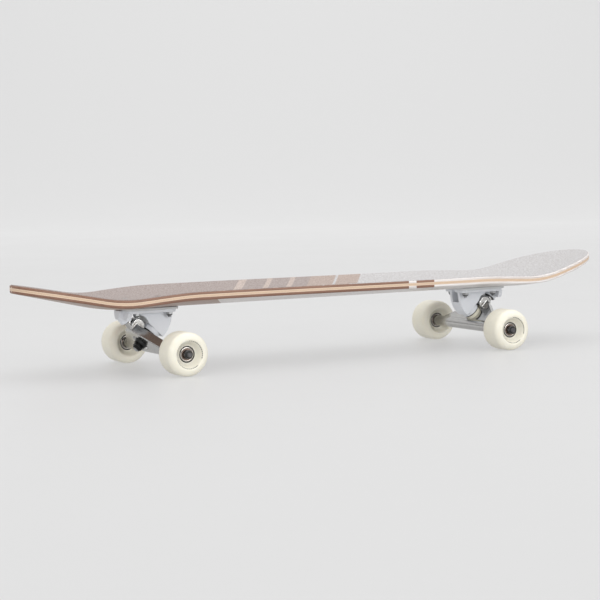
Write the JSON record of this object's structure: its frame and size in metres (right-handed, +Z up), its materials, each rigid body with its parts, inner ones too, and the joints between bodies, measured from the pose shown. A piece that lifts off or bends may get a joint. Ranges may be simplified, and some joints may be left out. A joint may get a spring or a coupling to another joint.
{
  "type": "skateboard",
  "caption": "Longboard skateboard: kicked concave maple deck on sprung reverse-kingpin trucks that steer by leaning, with free-rolling urethane wheels on ball bearings.",
  "frame": {"origin": "on the ground below the middle of the board's length and width", "axes": "+X along the board towards the nose, +Y to the rider's left, +Z up"},
  "size_m": [1.0222, 0.259, 0.1465],
  "materials": {
    "grit": "fine grit sheet with pale stripes",
    "stained_ply": "stained maple face ply",
    "maple": "rock maple laminate",
    "zinc_steel": "zinc-plated steel",
    "riser": "pale grey shock pad",
    "white_paint": "white powder coat on cast aluminium",
    "black_plastic": "black nylon",
    "black_steel": "black-finished steel",
    "bushing_urethane": "cast cream urethane",
    "black_urethane": "cast black urethane",
    "cast_aluminium": "polished cast aluminium",
    "wheel_urethane": "cast off-white urethane",
    "bearing_steel": "ground bearing steel",
    "spacer_aluminium": "turned aluminium"
  },
  "bodies": {
    "board": {"grip_sheet": "grit", "deck_ply_top": "stained_ply", "deck_core": "maple", "deck_ply_bottom": "stained_ply", "deck_bolts": "zinc_steel", "deck_nuts": "zinc_steel", "front_riser_pad": "riser", "front_baseplate": "white_paint", "front_pivot_cup": "black_plastic", "front_kingpin": "zinc_steel", "front_kingpin_nut": "black_steel", "front_cup_washers": "black_steel", "front_bushing_board": "bushing_urethane", "front_bushing_road": "black_urethane", "rear_riser_pad": "riser", "rear_baseplate": "white_paint", "rear_pivot_cup": "black_plastic", "rear_kingpin": "zinc_steel", "rear_kingpin_nut": "black_steel", "rear_cup_washers": "black_steel", "rear_bushing_board": "bushing_urethane", "rear_bushing_road": "black_urethane"},
    "front_truck": {"front_hanger": "cast_aluminium", "front_axle": "zinc_steel", "front_left_bearing_cones": "bearing_steel", "front_left_spacer": "spacer_aluminium", "front_left_speed_washers": "zinc_steel", "front_left_axle_nut": "zinc_steel", "front_right_bearing_cones": "bearing_steel", "front_right_spacer": "spacer_aluminium", "front_right_speed_washers": "zinc_steel", "front_right_axle_nut": "zinc_steel"},
    "front_left_wheel": {"front_left_wheel": "wheel_urethane", "front_left_wheel_core": "black_plastic", "front_left_bearing_shells": "bearing_steel"},
    "front_left_balls": {"front_left_ball_cages": "bearing_steel"},
    "front_right_wheel": {"front_right_wheel": "wheel_urethane", "front_right_wheel_core": "black_plastic", "front_right_bearing_shells": "bearing_steel"},
    "front_right_balls": {"front_right_ball_cages": "bearing_steel"},
    "rear_truck": {"rear_hanger": "cast_aluminium", "rear_axle": "zinc_steel", "rear_left_bearing_cones": "bearing_steel", "rear_left_spacer": "spacer_aluminium", "rear_left_speed_washers": "zinc_steel", "rear_left_axle_nut": "zinc_steel", "rear_right_bearing_cones": "bearing_steel", "rear_right_spacer": "spacer_aluminium", "rear_right_speed_washers": "zinc_steel", "rear_right_axle_nut": "zinc_steel"},
    "rear_left_wheel": {"rear_left_wheel": "wheel_urethane", "rear_left_wheel_core": "black_plastic", "rear_left_bearing_shells": "bearing_steel"},
    "rear_left_balls": {"rear_left_ball_cages": "bearing_steel"},
    "rear_right_wheel": {"rear_right_wheel": "wheel_urethane", "rear_right_wheel_core": "black_plastic", "rear_right_bearing_shells": "bearing_steel"},
    "rear_right_balls": {"rear_right_ball_cages": "bearing_steel"}
  },
  "joints": [
    {"name": "front_steer", "type": "hinge", "parent": "board", "child": "front_truck", "pos_m": [0.29623, 0, 0.04427], "axis": [0.6428, 0, 0.766], "range_deg": [-18, 18], "stiffness_Nm_per_rad": 30, "deforming": ["front_bushing_board", "front_bushing_road"]},
    {"name": "front_left_spin", "type": "hinge", "parent": "front_truck", "child": "front_left_wheel", "pos_m": [0.2805, 0.107, 0.0325], "axis": [0, 1, 0], "continuous": true},
    {"name": "front_left_balls_spin", "type": "hinge", "parent": "front_truck", "child": "front_left_balls", "pos_m": [0.2805, 0.107, 0.0325], "axis": [0, 1, 0], "continuous": true},
    {"name": "front_right_spin", "type": "hinge", "parent": "front_truck", "child": "front_right_wheel", "pos_m": [0.2805, -0.107, 0.0325], "axis": [0, 1, 0], "continuous": true},
    {"name": "front_right_balls_spin", "type": "hinge", "parent": "front_truck", "child": "front_right_balls", "pos_m": [0.2805, -0.107, 0.0325], "axis": [0, 1, 0], "continuous": true},
    {"name": "rear_steer", "type": "hinge", "parent": "board", "child": "rear_truck", "pos_m": [-0.30523, 0, 0.04427], "axis": [-0.6428, 0, 0.766], "range_deg": [-18, 18], "stiffness_Nm_per_rad": 30, "deforming": ["rear_bushing_board", "rear_bushing_road"]},
    {"name": "rear_left_spin", "type": "hinge", "parent": "rear_truck", "child": "rear_left_wheel", "pos_m": [-0.2895, 0.107, 0.0325], "axis": [0, 1, 0], "continuous": true},
    {"name": "rear_left_balls_spin", "type": "hinge", "parent": "rear_truck", "child": "rear_left_balls", "pos_m": [-0.2895, 0.107, 0.0325], "axis": [0, 1, 0], "continuous": true},
    {"name": "rear_right_spin", "type": "hinge", "parent": "rear_truck", "child": "rear_right_wheel", "pos_m": [-0.2895, -0.107, 0.0325], "axis": [0, 1, 0], "continuous": true},
    {"name": "rear_right_balls_spin", "type": "hinge", "parent": "rear_truck", "child": "rear_right_balls", "pos_m": [-0.2895, -0.107, 0.0325], "axis": [0, 1, 0], "continuous": true}
  ],
  "couplings": [
    {"joint": "front_left_balls_spin", "follows": "front_left_spin", "ratio": 0.62667},
    {"joint": "front_right_balls_spin", "follows": "front_right_spin", "ratio": 0.62667},
    {"joint": "rear_left_balls_spin", "follows": "rear_left_spin", "ratio": 0.62667},
    {"joint": "rear_right_balls_spin", "follows": "rear_right_spin", "ratio": 0.62667}
  ]
}
